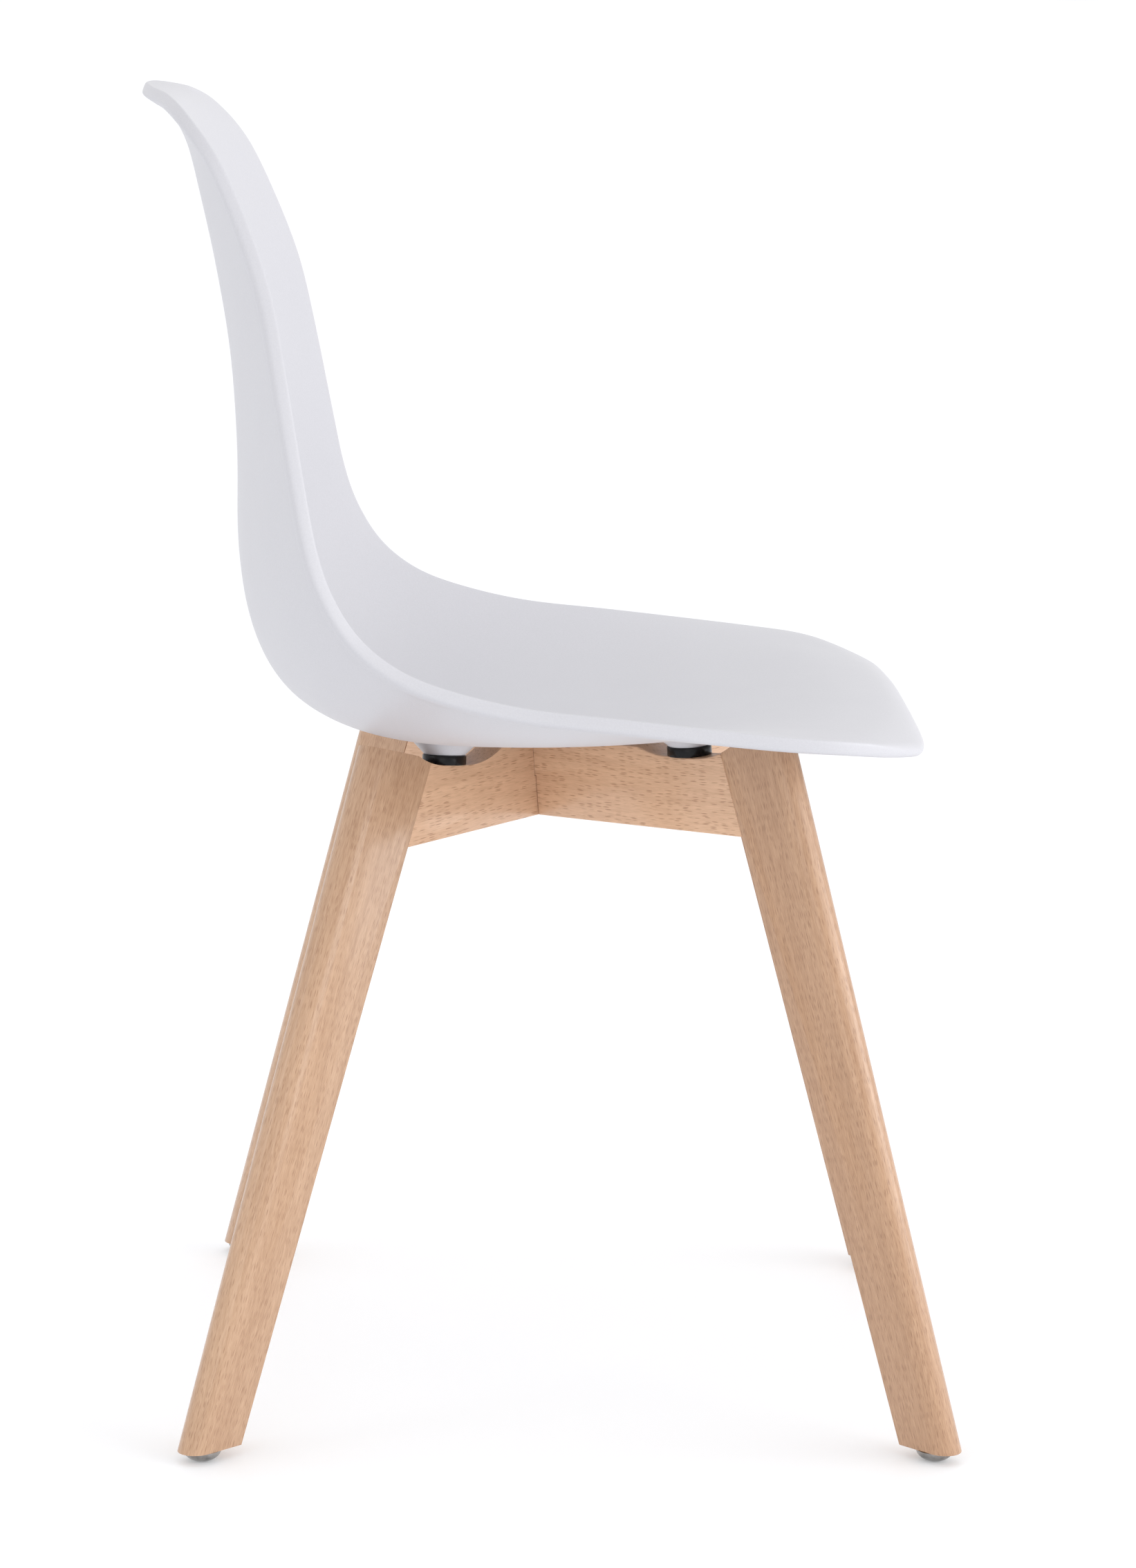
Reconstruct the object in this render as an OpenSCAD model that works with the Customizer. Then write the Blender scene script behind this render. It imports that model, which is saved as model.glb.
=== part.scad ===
// Dining chair: one-piece moulded shell on a crossed beech frame.
// Millimetres, +Z up, the front faces -Y. The origin is on the floor, under the middle of the chair.

/* [Seat shell] */
// Width of the shell over its rim
shell_w = 480; // [460:2:500]
// Thickness of the moulded wall
wall_t = 5; // [4:0.5:6]
// Thickness of the rolled rim
rim_t = 9.2; // [8:0.1:9.6]
// How far in from its edge the rim thickens
rim_run = 13; // [10:1:18]
// Radius of a boss where it meets its spacer
boss_r = 13.2; // [13:0.1:15]
// Rows of the shell's surface between two stations
rows_each = 3; // [2:1:4]
// Points across half of the shell
half_across = 12; // [8:1:14]

/* [Frame] */
// Thickness of the beams and legs
board_t = 22; // [20:1:24]
// Height of a beam
beam_h = 50; // [49.5:0.1:50.5]
// Height of the underside of the beams where they cross
cross_z = 357.7; // [354:0.1:358]
// How far the frame leans back, in degrees
lean = 4.7; // [4.2:0.1:5.2]
// From the crossing to a front leg, along the underside of a beam
front_reach = 185.4; // [183:0.2:187]
// From the crossing to a rear leg, along the underside of a beam
rear_reach = 125.2; // [123:0.2:127]
// Splay of a front leg's inner face, in degrees
front_splay = 14.9; // [14:0.1:16]
// Splay of a rear leg's inner face, in degrees
rear_splay = 27.4; // [26:0.1:28]
// Depth of a leg beside its beam
leg_d = 47; // [44:0.5:50]
// How much a leg narrows towards the foot, in degrees
leg_taper = 1.75; // [1.2:0.05:2]

/* [Seat fixings] */
// From the crossing to a front seat screw, along a beam
front_fix = 136; // [134:0.5:138]
// From the crossing to a rear seat screw, along a beam
rear_fix = 79; // [77:0.5:81]
// Tilt of a rear seat fixing, outer side up, in degrees
rear_tilt = 9; // [8:0.5:10]
// Thickness of a spacer
spacer_t = 6; // [5.8:0.1:6.2]
// Outer diameter of a spacer
spacer_d = 27.5; // [26:0.5:28]
// Diameter of a seat screw
screw_d = 6; // [5:0.5:6]

/* [Feet] */
// Height of a glide below the leg
glide_h = 7; // [6:0.5:8]
// Diameter of a glide
glide_d = 23; // [21:0.5:25]

/* [Hidden] */
$fn = 64;
cut = 0.5;                          // how far a cutter runs past a face
slip = 0.1;                         // clearance round a pin or a screw

cross_y = 5.4;                      // the crossing, behind the middle of the chair
rear_right = 135;                   // directions of the four arms, in degrees
front_left = 315;
rear_left = 45;
front_right = 225;

front_seat_h = 45.8;                // underside of a front spacer above the beams' underside
rear_seat_h = 43.4;
front_scoop_r = 62;                 // end radius of the hollow under a boss
rear_scoop_r = 48;
front_scoop_flat = 11;              // half the hollow's flat length
rear_scoop_flat = 9;
front_top = [174, 54.5, 6];         // a point on the top of a front leg, and its slope
rear_top = [116.3, 56.6, 18.5];

boss_step = 0.6;                    // the straight foot of a boss, below its 45 degree flare
front_flare = 9.4;
rear_flare = 12.2;
insert_d = 8.5;
insert_l = 9;
washer_d = 14;
washer_t = 1.6;
head_d = 11;
head_h = 3.6;
head_pocket = 9;                    // depth of the pocket for a screw's head
lap_screw_d = 5;
lap_screw_l = 42;
dowel_d = 8;
dowel_l = 38;
dowel_places = [14, 32];            // heights of the two dowels up a leg's inner face
nail_d = 3;
nail_l = 20;

white = "#E4E4E9";
beech = "#D9B38C";

// Stations along the shell, from the front edge to the top of the back. Each holds the middle
// line's y and z, the rim's x, y and z, and how squarely the section dips between them.
stations = [
    [-230.2, 424.0, 163, -222, 427.8, 4.5],
    [-226.0, 430.5, 196, -204, 432.5, 2.8],
    [-213.0, 436.0, 221.5, -179, 437.5, 2.4],
    [-180, 438.5, 232, -144, 440.7, 2.5],
    [-120, 430.0, 235, -98, 445.0, 2.6],
    [-50, 418.5, 236, -45, 450.0, 2.7],
    [20, 414.0, 236, 8, 455, 2.7],
    [80, 415.0, 236, 52, 464.3, 2.7],
    [125, 425.0, 235, 85, 476.5, 2.6],
    [158, 445.0, 234, 110, 495.5, 2.4],
    [178, 480.0, 233, 127, 521.0, 2.3],
    [187, 530.0, 229, 137.5, 550.0, 2.2],
    [188, 590.0, 219, 146, 592.0, 2.1],
    [192.5, 650.0, 203, 156, 645.0, 2.0],
    [202, 705.0, 181, 167, 696.0, 2.0],
    [212, 750.0, 164, 184, 741.5, 2.0],
    [219, 779.5, 155, 199, 772.5, 2.1],
    [227.5, 797.8, 141, 212.5, 789.7, 2.3],
    [236, 805.4, 122, 221, 798.0, 2.5],
    [244, 808.3, 96, 229, 803.2, 2.6]];
drawn_w = 480;                      // the width that the stations are drawn for
last = len(stations) - 1;

// ---- the shell's surface ----

// A smooth curve (Catmull-Rom) from b to c, with a and d as the neighbours
function through(a, b, c, d, t) =
    0.5 * (2 * b + (c - a) * t + (2 * a - 5 * b + 4 * c - d) * t * t
           + (3 * b - a - 3 * c + d) * t * t * t);

function station(u) =
    let (i = min(floor(u), last - 1))
    let (b = stations[i], c = stations[i + 1])
    let (a = i > 0 ? stations[i - 1] : 2 * b - c)
    let (d = i < last - 1 ? stations[i + 2] : 2 * c - b)
    through(a, b, c, d, u - i);

// The middle of the wall at row u and at v, from -1 at the right rim to 1 at the left
function mid_wall(u, v) =
    let (s = station(u), rise = pow(abs(v), s[5]))
    [s[2] * v * shell_w / drawn_w, s[0] + (s[3] - s[0]) * rise + cross_y, s[1] + (s[4] - s[1]) * rise];

function unit(a) = a / norm(a);

small = 0.01;
function along(u, v) =
    unit(mid_wall(min(u + small, last), v) - mid_wall(max(u - small, 0), v));
function across(u, v) =
    unit(mid_wall(u, min(v + small, 1)) - mid_wall(u, max(v - small, -1)));
// Square to the wall, towards the sitter. It is taken a little inside the edge, because the rows
// and the rim run side by side at a corner
function sitting_side(u, v) =
    let (a = max(0.3, min(last - 0.3, u)), b = max(-0.95, min(0.95, v)))
    unit(cross(across(a, b), along(a, b)));
// Out of the edge, at the sides and at the two ends
function out_of_side(u, v) = v * unit(cross(along(u, v), sitting_side(u, v)));
function out_of_end(u, v) = (u > 0 ? -1 : 1) * unit(cross(across(u, v), sitting_side(u, v)));

// Distance to the nearest edge, and half the thickness there
function to_edge(u, v) =
    let (p = mid_wall(u, v))
    min(norm(p - mid_wall(u, sign(v == 0 ? 1 : v))), norm(p - mid_wall(0, v)), norm(p - mid_wall(last, v)));
function half_wall(u, v) =
    let (t = max(0, 1 - to_edge(u, v) / rim_run))
    wall_t / 2 + (rim_t - wall_t) / 2 * t * t * (3 - 2 * t);

// One closed loop round the wall. Past an end row, turn goes round the rim, from 0 to nearly 90
rim_turns = [-60, -20, 20, 60];
function spread(j) = 0.35 * sin(90 * j / half_across) + 0.65 * j / half_across;
function past_end(u, v, turn) = rim_t / 2 * sin(turn) * out_of_end(u, v);
function face_points(u, side, turn) =
    [for (j = [-half_across : half_across])
        let (v = side * spread(j))
        mid_wall(u, v) + past_end(u, v, turn) + side * cos(turn) * half_wall(u, v) * sitting_side(u, v)];
function rim_points(u, v, turn) =
    [for (a = rim_turns)
        mid_wall(u, v) + past_end(u, v, turn)
        + rim_t / 2 * cos(turn) * ((1 - sin(turn)) * cos(a) * out_of_side(u, v)
                                   - v * sin(a) * sitting_side(u, v))];
function ring(u, turn) =
    concat(face_points(u, 1, turn), rim_points(u, 1, turn),
           face_points(u, -1, turn), rim_points(u, -1, turn));

module seat_wall() {
    rings = concat([for (t = [78, 50, 24]) ring(0, t)],
                   [for (k = [0 : last * rows_each]) ring(k / rows_each, 0)],
                   [for (t = [24, 50, 78]) ring(last, t)]);
    count = len(rings[0]);
    rows = len(rings);
    wide = 2 * half_across + 1;
    turns = len(rim_turns);
    skin = [for (r = [0 : rows - 2], k = [0 : count - 1])
        let (n = (k + 1) % count)
        [r * count + k, (r + 1) * count + k, (r + 1) * count + n, r * count + n]];
    end_cap = [for (j = [0 : wide - 2])
        [j, j + 1, count - turns - 2 - j, count - turns - 1 - j]];
    side_caps = [[for (j = [wide - 1 : wide + turns]) j],
                 [for (j = [count - turns - 1 : count - 1]) j, 0]];
    cap = concat(end_cap, side_caps);
    top_cap = [for (f = cap) [for (j = [len(f) - 1 : -1 : 0]) f[j] + (rows - 1) * count]];
    polyhedron(points = [for (r = rings, p = r) p], faces = concat(skin, cap, top_cap), convexity = 8);
}

// ---- places ----

// Puts children on an arm of the crossed frame: X runs outward, Y across it and Z up from its underside
module on_arm(direction) {
    translate([0, cross_y, cross_z]) rotate([-lean, 0, 0]) rotate([0, 0, direction]) children();
}

// The same, at a seat screw: Z runs along the screw, and its zero is where the screw would leave
// a beam that had no tilt
module at_fixing(direction) {
    on_arm(direction) translate([is_front(direction) ? front_fix : rear_fix, 0, seat_h(direction)])
        rotate([0, is_front(direction) ? 0 : -rear_tilt, 0])
            translate([0, 0, -seat_h(direction)]) children();
}

function is_front(direction) = direction > 180;
function seat_h(direction) = is_front(direction) ? front_seat_h : rear_seat_h;
function reach(direction) = is_front(direction) ? front_reach : rear_reach;
function splay(direction) = is_front(direction) ? front_splay : rear_splay;
arms = [front_right, front_left, rear_right, rear_left];

// A flat outline in X and Z of an arm, as thick as given
module slab(thick) {
    rotate([90, 0, 0]) linear_extrude(thick, center = true) children();
}

// The hollow cut into the top of an arm round a seat fixing, and the flat that the spacer sits on
module scoop(direction) {
    r = is_front(direction) ? front_scoop_r : rear_scoop_r;
    flat = is_front(direction) ? front_scoop_flat : rear_scoop_flat;
    at_fixing(direction) translate([0, 0, seat_h(direction)]) {
        hull() for (side = [-1, 1])
            translate([side * flat, 0, r]) rotate([90, 0, 0])
                cylinder(h = 2 * board_t, r = r, center = true, $fn = 120);
        cylinder(h = beam_h, d = spacer_d + 1);
    }
}

// Puts children at the foot of a leg's inner face: X points out of the face, Z runs up the face
module on_leg_face(direction) {
    on_arm(direction) translate([reach(direction), 0, 0]) rotate([0, -splay(direction), 0]) children();
}

module dowel_holes(direction) {
    for (z = dowel_places)
        on_leg_face(direction) translate([0, 0, z]) rotate([0, 90, 0])
            cylinder(h = dowel_l + 2, d = dowel_d + 2 * slip, center = true);
}

// ---- parts ----

// The moulded shell, with four bosses under the seat
module seat_shell() {
    color(white) difference() {
        union() {
            seat_wall();
            for (a = arms) boss(a);
        }
        for (a = arms)
            at_fixing(a) translate([0, 0, seat_h(a) + spacer_t - cut])
                cylinder(h = insert_l + cut, d = insert_d);
    }
}

module boss(direction) {
    foot = seat_h(direction) + spacer_t;
    flare = is_front(direction) ? front_flare : rear_flare;
    at_fixing(direction) translate([0, 0, foot]) {
        cylinder(h = boss_step + flare, r = boss_r);
        translate([0, 0, boss_step]) cylinder(h = flare, r1 = boss_r, r2 = boss_r + flare);
    }
}

// A beam runs from a rear leg through the crossing to the front leg opposite
module beam(rear, lap_from, lap_to) {
    opposite = (rear + 180) % 360;
    front_end = front_reach - beam_h * tan(front_splay);
    rear_end = rear_reach - beam_h * tan(rear_splay);
    color(beech) difference() {
        on_arm(rear) slab(board_t)
            polygon([[-front_reach, 0], [rear_reach, 0], [rear_end, beam_h], [-front_end, beam_h]]);
        scoop(rear);
        scoop(opposite);
        on_arm(rear) translate([-board_t / 2 - slip, -board_t, lap_from])
            cube([board_t + 2 * slip, 2 * board_t, lap_to - lap_from]);
        dowel_holes(rear);
        dowel_holes(opposite);
        for (a = [rear, opposite]) at_fixing(a) {
            translate([0, 0, -cut]) cylinder(h = beam_h, d = screw_d + 1);
            translate([0, 0, -cut]) cylinder(h = head_pocket + cut, d = washer_d + 1);
        }
        on_arm(rear) translate([0, 0, -cut]) cylinder(h = lap_screw_l + 1, d = lap_screw_d + 2 * slip);
        on_arm(rear) translate([0, 0, -cut]) cylinder(h = head_h + cut, d = head_d - 1);
    }
}
module beam_rear_right() { beam(rear_right, beam_h / 2, beam_h + cut); }
module beam_rear_left() { beam(rear_left, -cut, beam_h / 2 + slip); }

// A leg is a straight bar with one round edge. Its flat inner face is planed at a slight angle to
// that edge, so the leg narrows towards the foot, which is cut level.
module leg(direction) {
    long = 560;
    r = board_t / 2;
    top = is_front(direction) ? front_top : rear_top;
    color(beech) difference() {
        intersection() {
            on_leg_face(direction) rotate([0, leg_taper, 0]) translate([0, 0, -long + 95])
                linear_extrude(long) {
                    translate([-20, -r]) square([leg_d - r + 20, board_t]);
                    translate([leg_d - r, 0]) circle(r = r);
                }
            translate([-500, -500, glide_h]) cube([1000, 1000, 500]);
        }
        on_leg_face(direction) translate([-100, -50, -500]) cube([100, 100, 700]);
        on_arm(direction) translate([top[0], 0, top[1]]) rotate([0, -top[2], 0])
            translate([-100, -50, 0]) cube([300, 100, 100]);
        scoop(direction);
        dowel_holes(direction);
        nail_place(direction) translate([0, 0, glide_h - cut]) cylinder(h = nail_l + cut, d = nail_d + 2 * slip);
    }
}
module leg_front_right() { leg(front_right); }
module leg_front_left() { leg(front_left); }
module leg_rear_right() { leg(rear_right); }
module leg_rear_left() { leg(rear_left); }

// Where a leg's inner face meets its level foot: height above the beams' underside, and distance
// from the crossing, both measured in the leaning frame
function foot_up(direction) =
    (glide_h - cross_z + reach(direction) * sin(direction) * sin(lean))
    / (cos(lean) + tan(splay(direction)) * sin(direction) * sin(lean));
function glide_in(direction) = is_front(direction) ? 19 : 22;
function foot_out(direction) = reach(direction) - foot_up(direction) * tan(splay(direction));

// Puts children on the floor, under a glide
module nail_place(direction) {
    face_y = foot_out(direction) * sin(direction) * cos(lean) + foot_up(direction) * sin(lean);
    translate([(foot_out(direction) + glide_in(direction)) * cos(direction),
               face_y + glide_in(direction) * sin(direction) + cross_y, 0]) children();
}

// A rubber ring between a boss and a beam
module spacer(direction) {
    color("#17171A") at_fixing(direction) translate([0, 0, seat_h(direction)]) difference() {
        cylinder(h = spacer_t, d = spacer_d);
        translate([0, 0, -cut]) cylinder(h = spacer_t + 2 * cut, d = screw_d + 2);
    }
}
module spacer_front_right() { spacer(front_right); }
module spacer_front_left() { spacer(front_left); }
module spacer_rear_right() { spacer(rear_right); }
module spacer_rear_left() { spacer(rear_left); }

module threaded_inserts() {
    color("#C9A227") for (a = arms)
        at_fixing(a) translate([0, 0, seat_h(a) + spacer_t]) difference() {
            cylinder(h = insert_l - cut, d = insert_d);
            translate([0, 0, -cut]) cylinder(h = insert_l + cut, d = screw_d + 2 * slip);
        }
}

module seat_screws() {
    color("#8C8F93") for (a = arms)
        at_fixing(a) translate([0, 0, head_pocket - washer_t]) {
            cylinder(h = seat_h(a) + spacer_t + insert_l - head_pocket + washer_t - 2, d = screw_d);
            translate([0, 0, -head_h]) difference() {
                cylinder(h = head_h, d = head_d);
                translate([0, 0, -cut]) cylinder(h = 2.5 + cut, d = 4.6, $fn = 6);
            }
        }
}

module screw_washers() {
    color("#A9ACB0") for (a = arms)
        at_fixing(a) translate([0, 0, head_pocket - washer_t]) difference() {
            cylinder(h = washer_t, d = washer_d);
            translate([0, 0, -cut]) cylinder(h = washer_t + 2 * cut, d = screw_d + 2 * slip);
        }
}

// Holds the two beams together where they are halved into each other
module lap_screw() {
    color("#8C8F93") on_arm(rear_right) {
        translate([0, 0, head_h]) cylinder(h = lap_screw_l - head_h, d = lap_screw_d);
        difference() {
            translate([0, 0, 0.4]) cylinder(h = head_h - 0.4, d = head_d - 1.4);
            cylinder(h = 2.2, d = 4, $fn = 6);
        }
    }
}

module dowels(direction) {
    color("#C8A173") for (z = dowel_places)
        on_leg_face(direction) translate([0, 0, z]) rotate([0, 90, 0])
            cylinder(h = dowel_l, d = dowel_d, center = true);
}
module dowels_front_right() { dowels(front_right); }
module dowels_front_left() { dowels(front_left); }
module dowels_rear_right() { dowels(rear_right); }
module dowels_rear_left() { dowels(rear_left); }

// A domed nail-on glide with a small flat to stand on
module glide(direction) {
    dome_r = (glide_d * glide_d / 4 + (glide_h + 0.5) * (glide_h + 0.5)) / (2 * glide_h + 1);
    color("#B9BCC0") nail_place(direction) {
        intersection() {
            translate([0, 0, dome_r - 0.5]) sphere(r = dome_r);
            cylinder(h = glide_h, d = glide_d + 2);
        }
        translate([0, 0, glide_h - 1]) cylinder(h = nail_l, d = nail_d);
    }
}
module glide_front_right() { glide(front_right); }
module glide_front_left() { glide(front_left); }
module glide_rear_right() { glide(rear_right); }
module glide_rear_left() { glide(rear_left); }

seat_shell();
beam_rear_right();
beam_rear_left();
leg_front_right();
leg_front_left();
leg_rear_right();
leg_rear_left();
spacer_front_right();
spacer_front_left();
spacer_rear_right();
spacer_rear_left();
threaded_inserts();
seat_screws();
screw_washers();
lap_screw();
dowels_front_right();
dowels_front_left();
dowels_rear_right();
dowels_rear_left();
glide_front_right();
glide_front_left();
glide_rear_right();
glide_rear_left();
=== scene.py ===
# Dining chair: a moulded shell on a crossed beech frame. Metres, +Z up, the front faces -Y.
import math

import bmesh
import bpy
from mathutils import Matrix, Vector


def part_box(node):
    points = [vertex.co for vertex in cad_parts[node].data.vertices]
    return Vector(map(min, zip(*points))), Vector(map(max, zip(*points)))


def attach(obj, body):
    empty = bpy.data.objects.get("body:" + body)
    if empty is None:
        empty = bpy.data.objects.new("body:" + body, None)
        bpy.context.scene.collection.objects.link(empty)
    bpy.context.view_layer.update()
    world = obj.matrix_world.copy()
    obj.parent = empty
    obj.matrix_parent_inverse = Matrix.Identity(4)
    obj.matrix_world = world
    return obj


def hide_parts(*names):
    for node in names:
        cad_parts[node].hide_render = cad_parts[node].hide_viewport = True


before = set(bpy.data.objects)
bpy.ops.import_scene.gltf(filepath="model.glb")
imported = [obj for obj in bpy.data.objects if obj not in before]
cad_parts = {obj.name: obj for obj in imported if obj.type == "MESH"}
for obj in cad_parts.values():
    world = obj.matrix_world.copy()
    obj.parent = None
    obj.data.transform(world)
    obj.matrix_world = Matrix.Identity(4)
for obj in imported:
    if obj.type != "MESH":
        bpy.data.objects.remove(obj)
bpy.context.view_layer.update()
mm = 0.001
upward = Vector((0, 0, 1))
unmoved = Matrix.Identity(4)
smoothUnder = math.radians(40)   # edges sharper than this stay sharp in the shading

# The view, the lights and the floor

view = {
    "place": (-2.839, 0.0304, 0.876),
    "down": 10.01,               # degrees below level
    "turn": -0.889,              # from +X towards +Y
    "roll": 0.81,
    "lens": 143.52,
    "sensor": 36,
    "seesTo": 1000,
}


def placeCamera():
    down, turn, roll = (math.radians(view[k]) for k in ("down", "turn", "roll"))
    level = math.cos(down)
    ahead = Vector((level * math.cos(turn), level * math.sin(turn), -math.sin(down)))
    side = ahead.cross(upward).normalized()
    up = side.cross(ahead)
    tiltedSide = side * math.cos(roll) + up * math.sin(roll)
    tiltedUp = up * math.cos(roll) - side * math.sin(roll)
    bpy.ops.object.camera_add(location=view["place"])
    camera = bpy.context.object
    turned = Matrix((tiltedSide, tiltedUp, -ahead)).transposed().to_4x4()
    camera.matrix_world = Matrix.Translation(view["place"]) @ turned
    camera.data.sensor_fit = "HORIZONTAL"
    camera.data.sensor_width = view["sensor"]
    camera.data.lens = view["lens"]
    camera.data.clip_end = view["seesTo"]
    bpy.context.scene.camera = camera


lamps = {
    # name: place, size, watts, colour
    "fromFront": ((-1.7, -2.8, 1.2), 2.4, 24, (1.0, 1.0, 1.0)),
    "fromAhead": ((-0.25, -3.2, 0.75), 1.4, 18, (1.0, 1.0, 1.0)),
    "fromSide": ((-3.1, 0.5, 1.0), 1.6, 4.5, (1.0, 0.99, 0.98)),
    "fromBack": ((-1.4, 2.8, 1.5), 1.2, 4, (0.98, 0.99, 1.0)),
    "fromAbove": ((0.3, 0.0, 3.2), 2.0, 4, (1.0, 1.0, 1.0)),
}
room = {"glow": 1.0, "colour": (1.0, 1.0, 1.0), "lampsAimAt": (0, 0, 0.4)}


def placeLamps():
    target = Vector(room["lampsAimAt"])
    for name, (place, size, watts, colour) in lamps.items():
        bpy.ops.object.light_add(type="AREA", location=place)
        lamp = bpy.context.object
        lamp.name = name
        lamp.data.shape = "DISK"
        lamp.data.size = size
        lamp.data.energy = watts
        lamp.data.color = colour
        lamp.rotation_euler = (target - Vector(place)).to_track_quat("-Z", "Y").to_euler()
    world = bpy.data.worlds.new("softRoom")
    world.use_nodes = True
    sky = world.node_tree.nodes["Background"]
    sky.inputs["Color"].default_value = (*room["colour"], 1)
    sky.inputs["Strength"].default_value = room["glow"]
    bpy.context.scene.world = world
    bpy.context.scene.view_settings.view_transform = "Standard"


ground = {
    "size": 900,
    "colour": (0.78, 0.79, 0.81),
    "roughness": 0.55,
    "gloss": 0.2,
    "glow": (1, 1, 1, 1),
    "lift": 0.22,                # how strongly it glows
}


# From below the floor is clear, so that the underside can be looked at
def seeThroughFromBelow(tree, shader):
    facing = tree.nodes.new("ShaderNodeNewGeometry")
    clear = tree.nodes.new("ShaderNodeBsdfTransparent")
    either = tree.nodes.new("ShaderNodeMixShader")
    tree.links.new(facing.outputs["Backfacing"], either.inputs[0])
    tree.links.new(shader.outputs[0], either.inputs[1])
    tree.links.new(clear.outputs[0], either.inputs[2])
    tree.links.new(either.outputs[0], tree.nodes["Material Output"].inputs["Surface"])


def layFloor():
    bpy.ops.mesh.primitive_plane_add(size=ground["size"])
    floor = bpy.context.object
    floor.name = "floor"
    paper = bpy.data.materials.new("paleFloor")
    paper.use_nodes = True
    shader = paper.node_tree.nodes["Principled BSDF"]
    shader.inputs["Base Color"].default_value = (*ground["colour"], 1)
    shader.inputs["Roughness"].default_value = ground["roughness"]
    shader.inputs["Specular IOR Level"].default_value = ground["gloss"]
    shader.inputs["Emission Color"].default_value = ground["glow"]
    shader.inputs["Emission Strength"].default_value = ground["lift"]
    seeThroughFromBelow(paper.node_tree, shader)
    floor.data.materials.append(paper)


placeCamera()
placeLamps()
layFloor()
print("view, lights and floor are in place")

# Small helpers


def pickNothing():
    bpy.ops.object.select_all(action="DESELECT")


def onlyPick(piece):
    if bpy.context.object and bpy.context.object.mode == "EDIT":
        bpy.ops.object.mode_set(mode="OBJECT")
    pickNothing()
    piece.select_set(True)
    bpy.context.view_layer.objects.active = piece


def startEdit(piece, what="VERT"):
    onlyPick(piece)
    bpy.ops.object.mode_set(mode="EDIT")
    bpy.ops.mesh.select_mode(type=what)


def endEdit():
    bpy.ops.object.mode_set(mode="OBJECT")


def keepPlace():
    bpy.ops.object.transform_apply(location=True, rotation=True, scale=True)


# Selects the edges whose middle and run pass the test
def pickEdges(piece, test):
    cage = bmesh.from_edit_mesh(piece.data)
    bpy.ops.mesh.select_all(action="DESELECT")
    for edge in cage.edges:
        a, b = (vert.co for vert in edge.verts)
        if test((a + b) / 2, b - a):
            edge.select_set(True)
    bmesh.update_edit_mesh(piece.data)


# Cuts the piece at a plane, takes away what lies on the normal's side and closes the cut
def sliceOff(piece, point, normal):
    startEdit(piece)
    bpy.ops.mesh.select_all(action="SELECT")
    bpy.ops.mesh.bisect(plane_co=point, plane_no=normal, use_fill=True, clear_outer=True,
                        threshold=1e-6)
    endEdit()


def cutAway(piece, cutter):
    onlyPick(piece)
    cut = piece.modifiers.new("cut", "BOOLEAN")
    cut.operation = "DIFFERENCE"
    cut.solver = "EXACT"
    cut.object = cutter
    bpy.ops.object.modifier_apply(modifier=cut.name)
    bpy.data.objects.remove(cutter)


# Joins the second piece into the first
def joinTo(piece, other):
    onlyPick(other)
    piece.select_set(True)
    bpy.context.view_layer.objects.active = piece
    bpy.ops.object.join()


def easeEdges(piece, width, steps, over):
    onlyPick(piece)
    ease = piece.modifiers.new("ease", "BEVEL")
    ease.width = width
    ease.segments = steps
    ease.limit_method = "ANGLE"
    ease.angle_limit = math.radians(over)
    ease.harden_normals = False
    bpy.ops.object.modifier_apply(modifier=ease.name)
    bpy.ops.object.shade_smooth_by_angle(angle=smoothUnder)


# Puts a finished piece where it belongs, with its place in its mesh
def settle(piece, place, slot, *nodes):
    piece.matrix_world = place
    onlyPick(piece)
    keepPlace()
    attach(piece, "root")
    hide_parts(*nodes)


# Writes where each point sits in its board, so that the grain runs along the board
def keepBoardPlace(piece, lengthwise, shift):
    place = piece.data.attributes.new("boardPlace", "FLOAT_VECTOR", "POINT")
    for vert, spot in zip(piece.data.vertices, place.data):
        x, y, z = vert.co
        grain = (x, z, y) if lengthwise == "X" else (z, x, y)
        spot.vector = Vector(grain) + Vector(shift)


# The frame's measures, as the part has them. Angles are in degrees

joinery = {
    "crossing": (0, 5.4 * mm, 357.7 * mm),
    "lean": 4.7,
    "beamTall": 50 * mm,
    "boardThick": 22 * mm,
    "legDeep": 47 * mm,
    "legTaper": 1.75,
    # scoop: radius and half of its flat. legTop: where the top cut lies, and its slope
    "front": {"reach": 185.4 * mm, "splay": 14.9, "fixing": 136 * mm, "seatUp": 45.8 * mm,
              "scoop": (62 * mm, 11 * mm), "legTop": (174 * mm, 54.5 * mm, 6), "tilt": 0},
    "rear": {"reach": 125.2 * mm, "splay": 27.4, "fixing": 79 * mm, "seatUp": 43.4 * mm,
             "scoop": (48 * mm, 9 * mm), "legTop": (116.3 * mm, 56.6 * mm, 18.5), "tilt": 9},
    "spacerThick": 6 * mm,
    "footUp": 7 * mm,
}
arms = {"rear_right": 135, "rear_left": 45, "front_right": 225, "front_left": 315}


def turnBy(angle, axis):
    return Matrix.Rotation(math.radians(angle), 4, axis)


def shiftBy(x, y, z):
    return Matrix.Translation((x, y, z))


def endOf(name):
    return "front" if name.startswith("front") else "rear"


def armSide(name):
    return joinery[endOf(name)]


def armPlace(name):
    level = shiftBy(*joinery["crossing"]) @ turnBy(-joinery["lean"], "X")
    return level @ turnBy(arms[name], "Z")


def legPlace(name):
    side = armSide(name)
    return armPlace(name) @ shiftBy(side["reach"], 0, 0) @ turnBy(-side["splay"], "Y")


def fixingPlace(name, up=0.0):
    side = armSide(name)
    seat = shiftBy(side["fixing"], 0, side["seatUp"])
    return armPlace(name) @ seat @ turnBy(-side["tilt"], "Y") @ shiftBy(0, 0, up)


# The shell

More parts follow.
